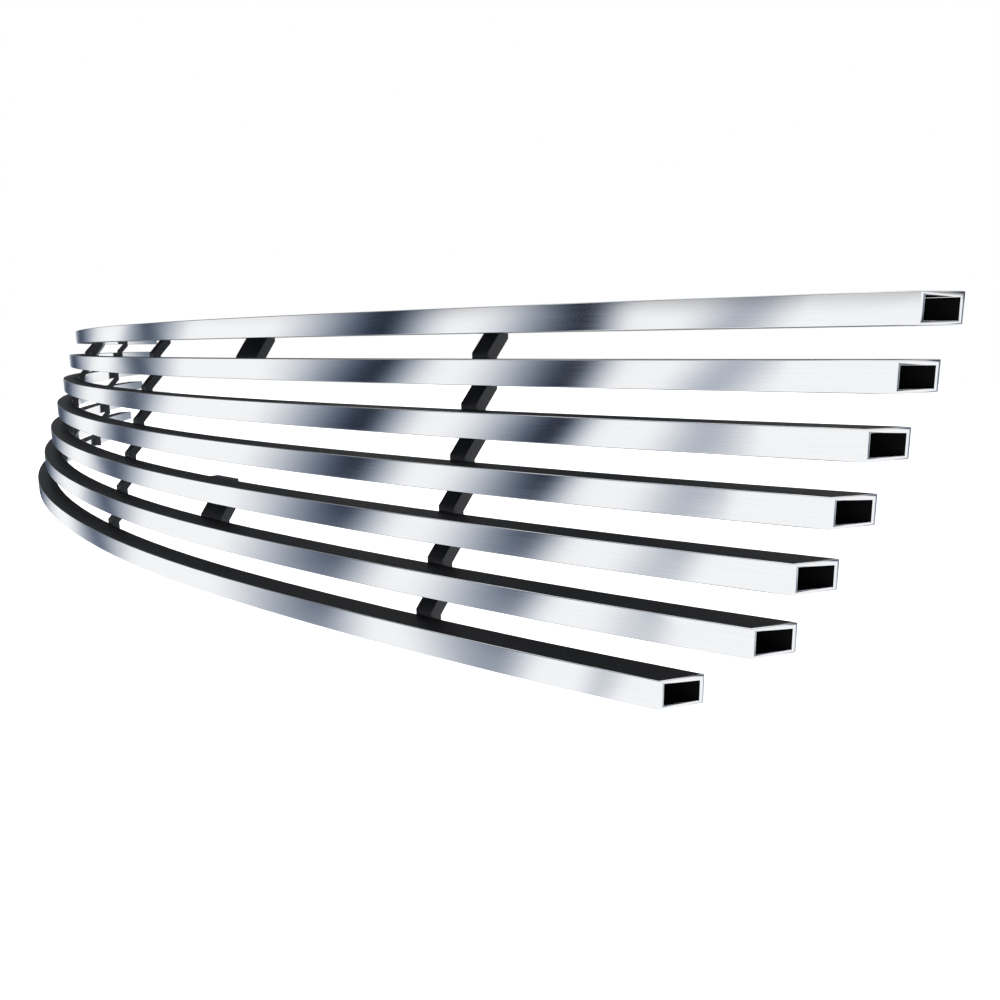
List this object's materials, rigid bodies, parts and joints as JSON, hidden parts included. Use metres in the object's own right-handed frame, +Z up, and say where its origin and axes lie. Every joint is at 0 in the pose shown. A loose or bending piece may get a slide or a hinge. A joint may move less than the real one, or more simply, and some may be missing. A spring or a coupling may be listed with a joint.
{
  "type": "front grille",
  "caption": "Bowed bumper grille insert of stacked hollow rectangular bars with a forward rake, on bent rear straps, with studded and tapped plates to bolt it behind an opening.",
  "frame": {"origin": "centre of the grille's bounding box", "axes": "-Y is the front face of the grille, +Y points back into the vehicle, +Z is up, and X runs along the bars, with +X to the right as seen from the front"},
  "size_m": [1.0468, 0.1927, 0.1236],
  "materials": {
    "bars": "brushed front and rear faces, black top, bottom and inside",
    "straps": "satin black",
    "studs": "zinc plated"
  },
  "bodies": {
    "root": {"bar_1_top": "bars", "bar_2": "bars", "bar_3": "bars", "bar_4": "bars", "bar_5": "bars", "bar_6": "bars", "bar_7_bottom": "bars", "strap_outer_left": "straps", "strap_inner_left": "straps", "strap_inner_right": "straps", "strap_outer_right": "straps", "plate_upper_left": "straps", "plate_upper_right": "straps", "plate_lower_left": "straps", "plate_lower_right": "straps", "studs_upper": "studs"}
  },
  "joints": []
}
